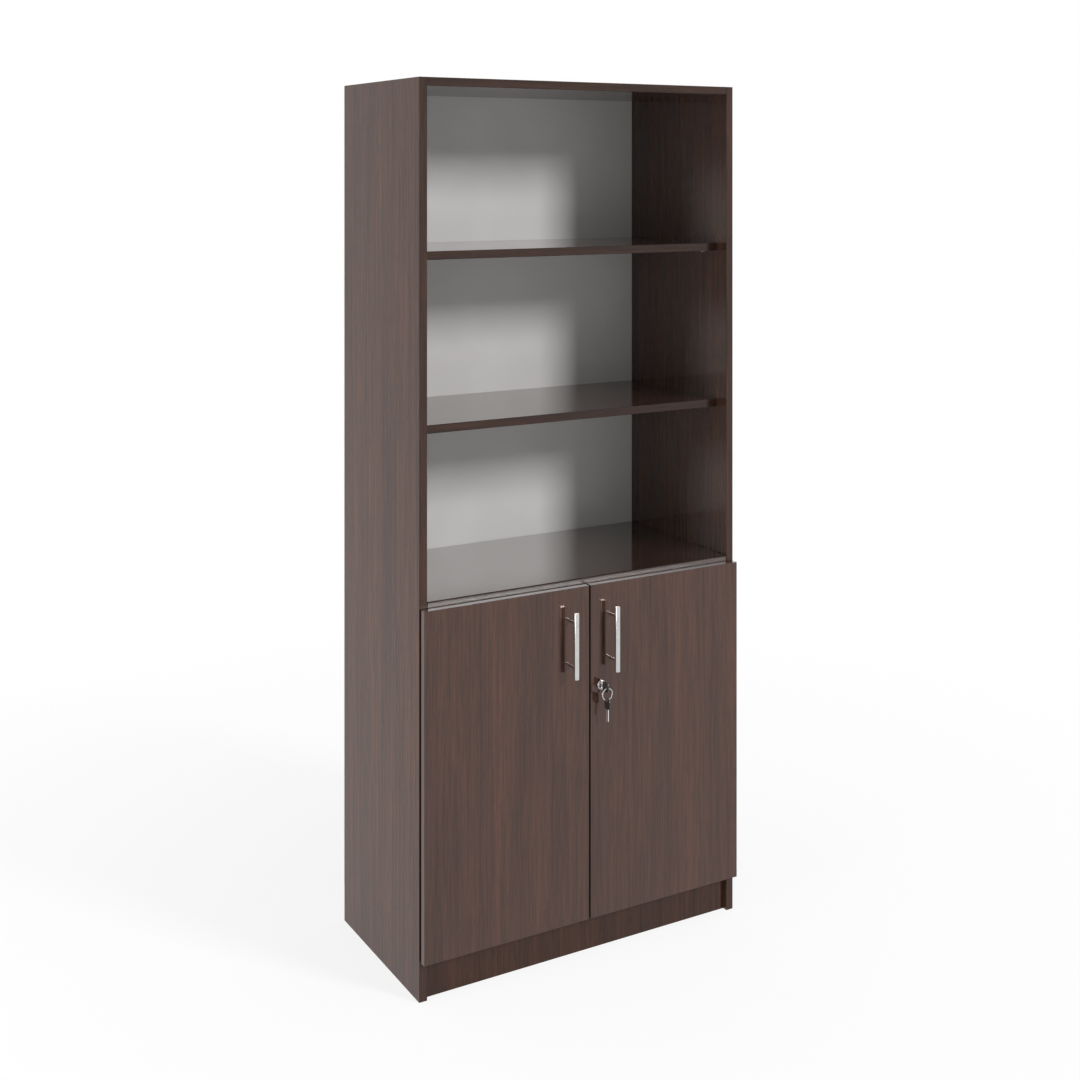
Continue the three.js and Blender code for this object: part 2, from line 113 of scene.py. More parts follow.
class Nodes:
    """A material's node tree, with short calls to add nodes and link them."""

    def __init__(self, name):
        self.material = bpy.data.materials.new(name)
        self.material.use_nodes = True
        self.tree = self.material.node_tree
        self.shader = self.tree.nodes["Principled BSDF"]
        self.place = self.add("ShaderNodeTexCoord").outputs["Object"]

    def add(self, kind, **settings):
        node = self.tree.nodes.new(kind)
        for key, value in settings.items():
            setattr(node, key, value)
        return node

    def link(self, output, target):
        self.tree.links.new(output, target)

    def noise(self, scale, detail=2.0, roughness=0.5, distortion=0.0, offset=(0, 0, 0)):
        """Noise whose scale along each axis is in cells a metre."""
        mapping = self.add("ShaderNodeMapping")
        set_inputs(mapping, {"Scale": scale, "Location": offset})
        self.link(self.place, mapping.inputs["Vector"])
        noise = self.add("ShaderNodeTexNoise")
        set_inputs(noise, {"Scale": 1.0, "Detail": detail, "Roughness": roughness, "Distortion": distortion})
        self.link(mapping.outputs["Vector"], noise.inputs["Vector"])
        return noise.outputs["Fac"]

    def mesh_print(self, pitch):
        """The height of a woven wire mesh's print on an upright board, with its wires one pitch apart."""
        heights = []
        for direction in ("X", "Z"):
            wave = self.add("ShaderNodeTexWave", bands_direction=direction)
            set_inputs(wave, {"Scale": 2 * math.pi / (WAVE_RADIANS * pitch)})
            self.link(self.place, wave.inputs["Vector"])
            heights.append(self.span(wave.outputs["Fac"], 0, 0.5, 0, 1))
        return self.sum(*heights)

    def ramp(self, value, *stops):
        """A colour ramp through (place, colour) stops."""
        ramp = self.add("ShaderNodeValToRGB")
        elements = ramp.color_ramp.elements
        first, *between, last = stops
        for index, (place, colour) in enumerate((first, last)):
            elements[index].position = place
            elements[index].color = (*colour, 1)
        for place, colour in between:
            elements.new(place).color = (*colour, 1)
        self.link(value, ramp.inputs["Fac"])
        return ramp.outputs["Color"]

    def tones(self, noise, dark, light):
        """Two tones of a colour that pass into each other as the noise says."""
        return self.ramp(noise, (NOISE_LOW, dark), (NOISE_HIGH, light))

    def span(self, value, low, high, start=NOISE_LOW, end=NOISE_HIGH):
        """The value, spread so that start becomes low and end becomes high."""
        node = self.add("ShaderNodeMapRange")
        set_inputs(node, {"From Min": start, "From Max": end, "To Min": low, "To Max": high})
        self.link(value, node.inputs["Value"])
        return node.outputs["Result"]

    def cover(self, factor, under, colour):
        """One fixed colour over another colour, as far as the factor says."""
        node = self.add("ShaderNodeMix", data_type="RGBA")
        node.inputs[MIX_OVER].default_value = (*colour, 1)
        self.link(under, node.inputs[MIX_UNDER])
        self.link(factor, node.inputs["Factor"])
        return node.outputs[MIX_RESULT]

    def sum(self, *values):
        total = values[0]
        for value in values[1:]:
            node = self.add("ShaderNodeMath", operation="ADD")
            self.link(total, node.inputs[0])
            self.link(value, node.inputs[1])
            total = node.outputs[0]
        return total

    def surface(self, colour, roughness, metallic=0.0):
        """The shader's colour and roughness, and its fixed share of metal."""
        self.link(colour, self.shader.inputs["Base Color"])
        self.link(roughness, self.shader.inputs["Roughness"])
        set_inputs(self.shader, {"Metallic": metallic})

    def bump(self, height, distance):
        """Bumps as high as the distance where the height is 1."""
        node = self.add("ShaderNodeBump")
        set_inputs(node, {"Distance": distance})
        self.link(height, node.inputs["Height"])
        self.link(node.outputs["Normal"], self.shader.inputs["Normal"])


# Wood-grain laminate

# Cells a metre across the grain and along it
FINE_CELLS = (640, 16)
STREAK_CELLS = (110, 2.6)
BAND_CELLS = (24, 1.2)
PORE_CELLS = (520, 22)
# How much each layer adds to the figure of the grain
FINE_SHARE = 0.34
STREAK_SHARE = 0.44
BAND_SHARE = 0.22
# The noise at a pore's rim and at its middle, for its colour and for its dent
PORE_COLOUR_RANGE = (0.63, 0.72)
PORE_DENT_RANGE = (0.62, 0.7)
PORE_COVER = 0.7
PORE_COLOUR = (0.011, 0.012, 0.012)
WOOD_DARK = (0.023, 0.012, 0.0095)
WOOD_MIDDLE = (0.047, 0.0215, 0.0145)
WOOD_LIGHT = (0.084, 0.036, 0.022)
# How far from the middle of the figure the dark and the light tone are at a contrast of 1
DARK_DISTANCE = 0.4
LIGHT_DISTANCE = 0.45
COAT_IOR = 2.45
COAT_ROUGHNESS = 0.08
GRAIN_RELIEF = 0.02 * MM


def laminate(name, grain, brightness=1.0, contrast=1.3, ior=1.52, roughness=(0.09, 0.14), tint=(1, 1, 1),
             coat=0.0):
    """Dark brown wood-grain laminate: fine streaks along the grain, wide bands and short dark pores.
    The grain runs along one axis, and the brightness multiplies its colours. The roughness goes with the
    streaks from one value to the other. The ior and the tint are those of the reflection under the coat."""

    def cells(across, along):
        return tuple(along if runs else across for runs in grain)

    nodes = Nodes(name)
    fine = nodes.noise(cells(*FINE_CELLS), detail=3, roughness=0.65)
    streaks = nodes.noise(cells(*STREAK_CELLS), detail=5, roughness=0.78, offset=(3, 7, 1))
    bands = nodes.noise(cells(*BAND_CELLS), detail=3, distortion=0.6, offset=(9, 2, 5))
    pores = nodes.noise(cells(*PORE_CELLS), detail=1, offset=(1, 8, 4))
    layers = ((fine, FINE_SHARE), (streaks, STREAK_SHARE), (bands, BAND_SHARE))
    figure = nodes.sum(*(nodes.span(layer, 0, share) for layer, share in layers))
    wood = nodes.ramp(
        figure,
        (0.5 - DARK_DISTANCE / contrast, scaled(WOOD_DARK, brightness)),
        (0.5, scaled(WOOD_MIDDLE, brightness)),
        (0.5 + LIGHT_DISTANCE / contrast, scaled(WOOD_LIGHT, brightness)),
    )
    in_pore = nodes.span(pores, 0, PORE_COVER, *PORE_COLOUR_RANGE)
    nodes.surface(nodes.cover(in_pore, wood, PORE_COLOUR), nodes.span(streaks, *roughness))
    set_inputs(nodes.shader, {
        "IOR": ior,
        "Specular Tint": (*tint, 1),
        "Coat Weight": coat,
        "Coat IOR": COAT_IOR,
        "Coat Roughness": COAT_ROUGHNESS,
    })
    nodes.bump(nodes.sum(nodes.span(fine, 0, 0.6), nodes.span(pores, 0.4, 0, *PORE_DENT_RANGE)), GRAIN_RELIEF)
    return nodes.material


# Each kind of board has its own tone and gloss, as in the photograph. Some tones are partly painted light and
# shade: the lighter outer faces of the sides, the lighter upper faces of the doors and shelves, the lighter
# front edge of the middle panel, and the darker plinth.
UPRIGHT_WOOD = laminate("laminate_upright_grain", UP, brightness=1.06, ior=1.6)
DOOR_WOOD = laminate("laminate_door_grain", UP, brightness=0.76, contrast=1.7, ior=1.63, tint=(1, 0.78, 0.73))
# The plinth's darker tone is partly painted shade from the doors above it.
SHADED_PLINTH_WOOD = laminate("laminate_plinth_grain_and_painted_shade", UP, brightness=0.88, contrast=1.0, ior=1.3)
# The outer face of a side is a lighter copy of the upright laminate: painted light.
LIT_SIDE_WOOD = laminate("laminate_side_grain_painted_light", UP, brightness=1.3, contrast=1.5, ior=1.28)
LEVEL_WOOD = laminate("laminate_level_grain", RIGHT, brightness=0.75, ior=1.42)
# Upper faces of the shelves and the middle panel are lighter than the rest of their boards: painted light,
# with a coat for gloss.
LIT_SHELF_TOP = laminate("laminate_shelf_top_painted_light", RIGHT, coat=0.42)
LIT_MIDDLE_TOP = laminate("laminate_middle_top_painted_light", RIGHT, ior=1.85, roughness=(0.05, 0.09), coat=1.0)

# Edge bands, and a darker tone on the rounded edges
# The middle panel's front edge is lighter than the other front edges: partly painted highlight.
MIDDLE_EDGE_AND_HIGHLIGHT = laminate("edge_band_middle_grain_and_painted_highlight", RIGHT, brightness=0.65, ior=1.72, roughness=(0.26, 0.32))
# A door's upper edge is lighter than its front: a painted highlight, with a coat for gloss.
DOOR_TOP_EDGE_AND_HIGHLIGHT = laminate("edge_band_door_top_grain_and_painted_highlight", RIGHT, roughness=(0.16, 0.22), coat=1.0)
# A darker tone for every rounded board edge, which draws a dark line along it.
DARK_ROUNDING = laminate("laminate_dark_rounding", UP, brightness=0.35, ior=1.15, roughness=(0.3, 0.4))
UPRIGHT_EDGE = laminate("edge_band_upright_grain", UP, brightness=0.77, ior=1.36)
LEVEL_EDGE = laminate("edge_band_level_grain", RIGHT, brightness=0.55, ior=1.36)


# Hardboard, metal and plastic

MESH_PITCH = 1.6 * MM
PAINT_RELIEF = 0.06 * MM
FIBRE_RELIEF = 0.1 * MM
POLISH_RELIEF = 0.004 * MM
SCRATCH_RELIEF = 0.008 * MM
MOULD_RELIEF = 0.03 * MM


def painted_board():
    """Light grey lacquer on hardboard, with the faint unevenness of the board under it."""
    nodes = Nodes("pale_board_paint")
    cloud = nodes.noise((5, 5, 5), detail=3)
    peel = nodes.noise((420, 420, 420), offset=(4, 4, 4))
    colour = nodes.tones(cloud, (0.445, 0.434, 0.425), (0.49, 0.481, 0.471))
    nodes.surface(colour, nodes.span(peel, 0.42, 0.55))
    nodes.bump(peel, PAINT_RELIEF)
    return nodes.material


def raw_hardboard():
    """The unpainted rear of hardboard: brown fibres, pressed against a fine mesh."""
    nodes = Nodes("raw_hardboard")
    cloud = nodes.noise((4, 4, 4), detail=3)
    fibres = nodes.noise((700, 700, 260), detail=4, roughness=0.7, offset=(6, 1, 2))
    flecks = nodes.noise((160, 160, 110), offset=(2, 9, 4))
    figure = nodes.sum(nodes.span(cloud, 0, 0.2), nodes.span(fibres, 0, 0.55), nodes.span(flecks, 0, 0.25))
    colour = nodes.ramp(
        figure,
        (0.2, (0.12, 0.066, 0.036)),
        (0.5, (0.2, 0.117, 0.066)),
        (0.8, (0.28, 0.17, 0.1)),
    )
    nodes.surface(colour, nodes.span(flecks, 0.55, 0.7))
    nodes.bump(nodes.sum(nodes.mesh_print(MESH_PITCH), nodes.span(fibres, 0, 0.4)), FIBRE_RELIEF)
    return nodes.material


def polished_nickel():
    """Bright nickel with a faint haze and fine wear round the bars."""
    nodes = Nodes("polished_nickel")
    haze = nodes.noise((60, 60, 60), detail=4)
    wear = nodes.noise((1500, 1500, 90), offset=(2, 5, 3))
    colour = nodes.tones(haze, (0.53, 0.525, 0.52), (0.6, 0.595, 0.585))
    nodes.surface(colour, nodes.span(wear, 0.1, 0.2), metallic=1.0)
    nodes.bump(wear, POLISH_RELIEF)
    return nodes.material


def satin_nickel(name="satin_nickel", brightness=1.0, roughness=(0.24, 0.4)):
    """Nickel with fine scratches from front to back."""
    nodes = Nodes(name)
    haze = nodes.noise((90, 90, 90), detail=4)
    scratches = nodes.noise((2200, 240, 2200), offset=(2, 5, 3))
    dull = scaled((0.47, 0.46, 0.44), brightness)
    bright = scaled((0.58, 0.57, 0.55), brightness)
    nodes.surface(nodes.tones(haze, dull, bright), nodes.span(scratches, *roughness), metallic=1.0)
    nodes.bump(scratches, SCRATCH_RELIEF)
    return nodes.material


def moulded_plastic():
    """Black plastic with the fine grain of its mould."""
    nodes = Nodes("black_moulded_plastic")
    grain = nodes.noise((3200, 3200, 3200))
    cloud = nodes.noise((160, 160, 160), offset=(3, 1, 2))
    colour = nodes.tones(cloud, (0.017, 0.015, 0.014), (0.028, 0.025, 0.023))
    nodes.surface(colour, nodes.span(grain, 0.34, 0.48))
    nodes.bump(grain, MOULD_RELIEF)
    return nodes.material


BOARD = painted_board()
BOARD_REAR = raw_hardboard()
NICKEL = polished_nickel()
SATIN = satin_nickel()
KEY_STEEL = satin_nickel("bright_key_steel", brightness=1.45, roughness=(0.08, 0.16))
PLASTIC = moulded_plastic()


# Pieces and meshes

SHARP_EDGE_DEG = 35
# Faces that meet at less than this many radians become one
FLAT_ANGLE = 0.002
# Points nearer to each other than this become one, in a copied shape and in a new one
CAD_WELD = 0.002 * MM
FINE_WELD = 0.0005 * MM


def add_piece(name, mesh, material, body):
    """A new piece that rides on a body and takes the material that it is given."""
    piece = bpy.data.objects.new(name, mesh)
    bpy.context.scene.collection.objects.link(piece)
    mesh.materials.clear()
    mesh.materials.append(material)
    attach(piece, body)
    return piece


def stand_in(node, mesh, material):
    """A new piece that takes the place of a CAD node."""
    piece = add_piece(node + "_piece", mesh, material, body_of(node))
    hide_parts(node)
    return piece


def smooth(mesh, angle=SHARP_EDGE_DEG):
    """Smooth shading that keeps the edges sharper than the angle."""
    mesh.polygons.foreach_set("use_smooth", [True] * len(mesh.polygons))
    work = bmesh.new()
    work.from_mesh(mesh)
    for edge in work.edges:
        if len(edge.link_faces) == 2:
            edge.smooth = edge.calc_face_angle() < math.radians(angle)
    work.to_mesh(mesh)
    work.free()


def refine(node, material, rounding, segments=2):
    """The CAD node's own shape, with each sharp edge rounded by a small radius."""
    mesh = frame["nodes"][node].data.copy()
    work = bmesh.new()
    work.from_mesh(mesh)
    bmesh.ops.remove_doubles(work, verts=work.verts, dist=CAD_WELD)
    bmesh.ops.dissolve_limit(work, angle_limit=FLAT_ANGLE, verts=work.verts, edges=work.edges)
    work.to_mesh(mesh)
    work.free()
    piece = stand_in(node, mesh, material)
    bevel = piece.modifiers.new("rounded_edges", "BEVEL")
    bevel.width = rounding
    bevel.segments = segments
    bevel.limit_method = "ANGLE"
    bevel.angle_limit = math.radians(SHARP_EDGE_DEG)
    bevel.use_clamp_overlap = True
    bevel.harden_normals = True
    smooth(mesh)
    return piece


def faced(axis, place):
    """The matrix that turns the Z axis to an axis and moves the origin to a place."""
    turn = UP.rotation_difference(Vector(axis)).to_matrix().to_4x4()
    return Matrix.Translation(place) @ turn


def finished(work, matrix=None, angle=SHARP_EDGE_DEG):
    """A mesh from the bmesh, with its normals outward and its edges smooth up to the angle."""
    bmesh.ops.remove_doubles(work, verts=work.verts, dist=FINE_WELD)
    bmesh.ops.recalc_face_normals(work, faces=work.faces)
    if matrix:
        bmesh.ops.transform(work, matrix=matrix, verts=work.verts)
    mesh = bpy.data.meshes.new("shape")
    work.to_mesh(mesh)
    work.free()
    smooth(mesh, angle)
    return mesh


def sections(rings):
    """A bmesh through rings of points of one length, with both ends capped."""
    work = bmesh.new()
    loops = [[work.verts.new(point) for point in ring] for ring in rings]
    count = len(rings[0])
    for first, second in zip(loops, loops[1:]):
        for i in range(count):
            j = (i + 1) % count
            work.faces.new((first[i], first[j], second[j], second[i]))
    work.faces.new(loops[0])
    work.faces.new(loops[-1])
    return work


def lathe(profile, place, axis, segments):
    """A closed mesh turned about an axis through a place.
    Each profile point gives its radius and its distance along the axis."""
    work = bmesh.new()
    rings = []
    for radius, along in profile:
        if radius == 0:
            rings.append([work.verts.new((0, 0, along))])
            continue
        turns = (2 * math.pi * i / segments for i in range(segments))
        rings.append([work.verts.new((radius * math.cos(t), radius * math.sin(t), along)) for t in turns])
    for first, second in zip(rings, rings[1:]):
        for i in range(segments):
            j = (i + 1) % segments
            around = ((first, i), (first, j), (second, j), (second, i))
            corners = list(dict.fromkeys(ring[k % len(ring)] for ring, k in around))
            if len(corners) > 2:
                work.faces.new(corners)
    return finished(work, faced(axis, place))


def arc(centre_radius, centre_along, radius, start, end, steps=5):
    """Profile points on an arc, with its angles in degrees from the outward direction."""
    turns = (math.radians(start + (end - start) * i / steps) for i in range(steps + 1))
    return [(centre_radius + radius * math.cos(t), centre_along + radius * math.sin(t)) for t in turns]


def carved(mesh, tool):
    """The mesh with the tool's shape cut out of it."""
    piece = bpy.data.objects.new("carved", mesh)
    cutter = bpy.data.objects.new("cutter", tool)
    for item in (piece, cutter):
        bpy.context.scene.collection.objects.link(item)
    piece.modifiers.new("cut", "BOOLEAN").object = cutter
    bpy.context.view_layer.update()
    result = bpy.data.meshes.new_from_object(piece.evaluated_get(bpy.context.evaluated_depsgraph_get()))
    for item in (piece, cutter):
        bpy.data.objects.remove(item)
    smooth(result)
    return result


# Boards

SIDE_ROUNDING = 0.8 * MM
DOOR_ROUNDING = 0.7 * MM
MIDDLE_ROUNDING = 2.0 * MM
LEVEL_ROUNDING = 0.6 * MM
PLINTH_ROUNDING = 0.5 * MM
BACK_ROUNDING = 0.4 * MM
# A face looks in a direction where its normal has at least this share of it
FACING = 0.99


def dark_rounded_board(node, material, rounding):
    """A board whose rounded edges take a darker tone."""
    board = refine(node, material, rounding)
    board.data.materials.append(DARK_ROUNDING)
    board.modifiers["rounded_edges"].material = len(board.data.materials) - 1
    return board


def face_material(piece, direction, material):
    """The faces that look one way take another material, as an edge band does."""
    piece.data.materials.append(material)
    index = len(piece.data.materials) - 1
    for face in piece.data.polygons:
        if face.normal.dot(direction) > FACING:
            face.material_index = index


def side_board(side, outward):
    """A side of the carcass, with its edge band in front and a lighter tone on the outer face, which is
    painted light.
    """
    board = dark_rounded_board(f"side_{side}", UPRIGHT_WOOD, SIDE_ROUNDING)
    face_material(board, FRONT, UPRIGHT_EDGE)
    face_material(board, outward, LIT_SIDE_WOOD)


def door(side):
    """A door, with a glossier edge band on its upper edge, in a lighter tone that is a painted highlight."""
    board = dark_rounded_board(f"door_{side}", DOOR_WOOD, DOOR_ROUNDING)
    face_material(board, UP, DOOR_TOP_EDGE_AND_HIGHLIGHT)


def level_board(node, rounding=LEVEL_ROUNDING, front=LEVEL_EDGE, top=LIT_SHELF_TOP):
    """A panel or shelf, with its edge band in front and, where top says so, a glossier upper face in a
    lighter tone that is painted light.
    """
    board = dark_rounded_board(node, LEVEL_WOOD, rounding)
    face_material(board, FRONT, front)
    if top:
        face_material(board, UP, top)


side_board("left", -RIGHT)
side_board("right", RIGHT)
for side in SIDES:
    door(side)
level_board("top_panel", top=None)
# The middle panel's front edge is partly painted highlight, and its lighter upper face is painted light.
level_board("middle_panel", MIDDLE_ROUNDING, MIDDLE_EDGE_AND_HIGHLIGHT, LIT_MIDDLE_TOP)
for node in ("bottom_panel", "shelf_upper", "shelf_lower", "shelf_cabinet"):
    level_board(node)
# The plinth's darker tone is partly painted shade from the doors above it.
refine("plinth", SHADED_PLINTH_WOOD, PLINTH_ROUNDING)


# Back panel, nailed to the carcass along its border and to the middle panel

NAIL_RADIUS = 3 * MM
NAIL_HEIGHT = 0.2 * MM
NAIL_BEVEL = 0.1 * MM
NAIL_SEGMENTS = 16
NAIL_EDGE_DISTANCE = 9 * MM
NAIL_SPACING = 150 * MM


def back_panel():
    """The panel, thinner by the height of the nails, so that their heads end where its CAD shape does."""
    panel = refine("back_panel", BOARD, BACK_ROUNDING)
    face_material(panel, BACK, BOARD_REAR)
    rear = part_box("back_panel")[1].y
    for vertex in panel.data.vertices:
        if vertex.co.y > centre("back_panel").y:
            vertex.co.y = rear - NAIL_HEIGHT


def nail_places():
    """The places across and up of the nails: a row up each side, and rows across at three heights."""
    low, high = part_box("back_panel")
    left, right = low.x + NAIL_EDGE_DISTANCE, high.x - NAIL_EDGE_DISTANCE
    bottom, top = low.z + NAIL_EDGE_DISTANCE, high.z - NAIL_EDGE_DISTANCE
    rows = round((top - bottom) / NAIL_SPACING)
    columns = round((right - left) / NAIL_SPACING)
    for i in range(rows + 1):
        z = bottom + (top - bottom) * i / rows
        yield from ((left, z), (right, z))
    for i in range(1, columns):
        x = left + (right - left) * i / columns
        yield from ((x, bottom), (x, centre("middle_panel").z), (x, top))


def nails():
    """Low round heads on the back panel's rear, in one piece."""
    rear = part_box("back_panel")[1].y
    profile = [
        (0, 0),
        (NAIL_RADIUS, 0),
        (NAIL_RADIUS, NAIL_HEIGHT - NAIL_BEVEL),
        (NAIL_RADIUS - NAIL_BEVEL, NAIL_HEIGHT),
        (0, NAIL_HEIGHT),
    ]
    work = bmesh.new()
    for x, z in nail_places():
        head = lathe(profile, (x, rear - NAIL_HEIGHT, z), BACK, NAIL_SEGMENTS)
        work.from_mesh(head)
        bpy.data.meshes.remove(head)
    add_piece("back_panel_nails", finished(work), SATIN, "carcass")


back_panel()
nails()


# Fittings that keep their CAD shape, with rounded edges

HINGE_ROUNDING = 0.4 * MM
PRESSED_ROUNDING = 0.6 * MM
TURNED_ROUNDING = 0.5 * MM

for node in frame["nodes"]:
    if node.startswith("hinge_"):
        refine(node, SATIN, HINGE_ROUNDING)
    if node in ("bolt_housing", "lock_cam"):
        refine(node, SATIN, PRESSED_ROUNDING, segments=3)
    if node in ("bolt_rod", "lock_nut"):
        refine(node, SATIN, TURNED_ROUNDING, segments=3)


# Screw heads

HEAD_SEGMENTS = 32
# Shares of the head's height
CROWN_SHARE = 0.45
RECESS_SHARE = 0.7
# The crown's line, as shares of the head's radius and of the crown's height below its top
CROWN = ((0.93, 0.6), (0.75, 0.2), (0.5, 0))
# The cross, as shares of the head's radius, and the part of its reach that is left at its point
CROSS_REACH_SHARE = 0.55
CROSS_ARM_SHARE = 0.13
CROSS_POINT_SHARE = 0.45
CROSS_CLEARANCE = 0.3 * MM
SMALL_HEAD_HEIGHT = 0.5 * MM
SMALL_SHANK_LENGTH = 1.5 * MM
SMALL_SHANK_SHARE = 0.4


def cross_tool(radius, depth, place, axis):
    """The point of a cross driver, narrower toward its end, just over the head that it cuts."""

    def ring(share, along):
        w = CROSS_REACH_SHARE * radius * share
        t = CROSS_ARM_SHARE * radius * (1 + share) / 2
        points = []
        arm = [(t, t), (t, w), (-t, w)]
        for _ in range(4):
            points += [(x, y, along) for x, y in arm]
            arm = [(-y, x) for x, y in arm]
        return points

    rings = [ring(CROSS_POINT_SHARE, -depth), ring(1, 0), ring(1, CROSS_CLEARANCE)]
    return finished(sections(rings), faced(axis, place))


def screw_head(radius, height, shank_radius, shank_length, place, axis):
    """A pan head with a cross recess. The place is under the head, and the axis points out of it."""
    crown = CROWN_SHARE * height
    profile = [
        (0, -shank_length),
        (shank_radius, -shank_length),
        (shank_radius, 0),
        (radius, 0),
        (radius, height - crown),
        *((out * radius, height - down * crown) for out, down in CROWN),
        (0, height),
    ]
    top = Vector(place) + Vector(axis) * height
    tool = cross_tool(radius, RECESS_SHARE * height, top, axis)
    return carved(lathe(profile, place, axis, HEAD_SEGMENTS), tool)


def screw(node, shank_radius, head_height):
    """A screw in the place of a CAD node that has its head at the rear."""
    low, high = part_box(node)
    under_head = (centre(node).x, high.y - head_height, centre(node).z)
    shank_length = high.y - head_height - low.y
    mesh = screw_head(size(node).x / 2, head_height, shank_radius, shank_length, under_head, BACK)
    stand_in(node, mesh, SATIN)


def small_screw(name, radius, place, axis, body):
    """A low screw head whose short shank is in what it holds."""
    mesh = screw_head(radius, SMALL_HEAD_HEIGHT, SMALL_SHANK_SHARE * radius, SMALL_SHANK_LENGTH, place, axis)
    add_piece(name, mesh, SATIN, body)


# Screws of the handles, the lock, the hinges and the bolt

HANDLE_SHANK_RADIUS = 1.9 * MM
HANDLE_HEAD_HEIGHT = 2.2 * MM
CAM_SHANK_RADIUS = 1.5 * MM
CAM_HEAD_HEIGHT = 2 * MM
HINGE_SCREW_RADIUS = 3.6 * MM
ARM_SCREW_RADIUS = 3.2 * MM
HOUSING_SCREW_RADIUS = 2.8 * MM
HINGE_SCREW_INSET = 6 * MM
ARM_SCREW_DISTANCE = 10 * MM
HOUSING_SCREW_INSET = Vector((5, 0, 6)) * MM


def hinge_screws(side, end, inward):
    """Two screws each in the cup, the plate and the arm of a hinge.
    inward is 1 where the plate and the arm face right, and -1 where they face left."""
    cup, arm, plate = (f"hinge_{kind}_{side}_{end}" for kind in ("cup", "arm", "plate"))
    plate_face = centre(plate).x + inward * size(plate).x / 2
    arm_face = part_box(arm)[1].x if inward > 0 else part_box(arm)[0].x
    ear_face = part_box(cup)[1].y
    for turn, name in ((-1, "lower"), (1, "upper")):
        ear = (centre(cup).x, ear_face, centre(cup).z + turn * (size(cup).z / 2 - HINGE_SCREW_INSET))
        small_screw(f"{cup}_screw_{name}", HINGE_SCREW_RADIUS, ear, BACK, body_of(cup))
        wing_height = centre(plate).z + turn * (size(plate).z / 2 - HINGE_SCREW_INSET)
        wing = (plate_face, centre(plate).y, wing_height)
        small_screw(f"{plate}_screw_{name}", HINGE_SCREW_RADIUS, wing, (inward, 0, 0), body_of(plate))
        along_arm = (arm_face, centre(plate).y + turn * ARM_SCREW_DISTANCE, centre(arm).z)
        small_screw(f"{arm}_screw_{name}", ARM_SCREW_RADIUS, along_arm, (inward, 0, 0), body_of(arm))


def bolt_housing_screws():
    """Two screws at opposite corners of the bolt's housing."""
    node = "bolt_housing"
    corner = size(node) / 2 - HOUSING_SCREW_INSET
    for across, name in ((-1, "upper"), (1, "lower")):
        place = centre(node) + Vector((across * corner.x, size(node).y / 2, -across * corner.z))
        small_screw(f"{node}_screw_{name}", HOUSING_SCREW_RADIUS, place, BACK, body_of(node))


for node in frame["nodes"]:
    if node.startswith("handle_screw"):
        screw(node, HANDLE_SHANK_RADIUS, HANDLE_HEAD_HEIGHT)
screw("lock_cam_screw", CAM_SHANK_RADIUS, CAM_HEAD_HEIGHT)
for side, inward in zip(SIDES, (1, -1)):
    for end in ENDS:
        hinge_screws(side, end, inward)
bolt_housing_screws()


# Key ring, a flat wire wound twice

RING_GAP = 0.06 * MM
RING_CORNER = 0.22 * MM
RING_STEPS = 176
RING_SMOOTH_DEG = 50
CROSSOVER_SHARE = 0.09


def wire_section(half_wide, half_thick):
    """The outline of a flat wire with cut corners, as distances outward and along the ring's axis."""
    points = []
    for x, z in ((1, 1), (-1, 1), (-1, -1), (1, -1)):
        corner = [(half_wide, half_thick - RING_CORNER), (half_wide - RING_CORNER, half_thick)]
        if x * z < 0:
            corner.reverse()
        points += [(x * w, z * t) for w, t in corner]
    return points


def key_ring():
    """The wire runs round on one level, crosses over to the other and runs round on that."""
    node = "key_ring"
    wire = size(node).y
    radius = (size(node).z - wire) / 2
    rise = wire / 4
    outline = wire_section(wire / 2, wire / 4 - RING_GAP / 2)
    rings = []
    for i in range(RING_STEPS + 1):
        turn = CROSSOVER_SHARE + (2 - 2 * CROSSOVER_SHARE) * i / RING_STEPS
        share = min(max((turn - 1) / CROSSOVER_SHARE + 0.5, 0), 1)
        along = rise * (2 * share * share * (3 - 2 * share) - 1)
        across, up = math.cos(2 * math.pi * turn), math.sin(2 * math.pi * turn)
        rings.append([((radius + w) * across, (radius + w) * up, along + t) for w, t in outline])
    mesh = finished(sections(rings), faced(BACK, centre(node)), RING_SMOOTH_DEG)
    stand_in(node, mesh, NICKEL)


key_ring()


# Keys

# Depth of the cuts at equal steps, as shares of the deepest cut
CUTS = (0, 0, 0.55, 0.55, 0.15, 0.8, 0.8, 0.35, 0.35, 0.65, 0.2, 0.2)
DEEPEST_CUT_SHARE = 0.55
CUT_START_SHARE = 0.5
CUT_END_SHARE = 0.9
# Tip of the blade: share of the length, cut, and how much of the section is left
TIP = ((0.94, 0.25, 1.0), (0.98, 0.25, 0.55), (1, 0.25, 0.2))
# The groove's line: share of the half width, and share of the groove's depth
GROOVE = ((-0.35, 0), (-0.28, 1), (0.18, 1), (0.25, 0))
GROOVE_DEPTH_SHARE = 0.22
BLADE_SMOOTH_DEG = 25
BOW_ROUNDING = 0.3 * MM
BOW_RIM_WIDTH = 0.75 * MM
BOW_RIM_HEIGHT = 0.3 * MM


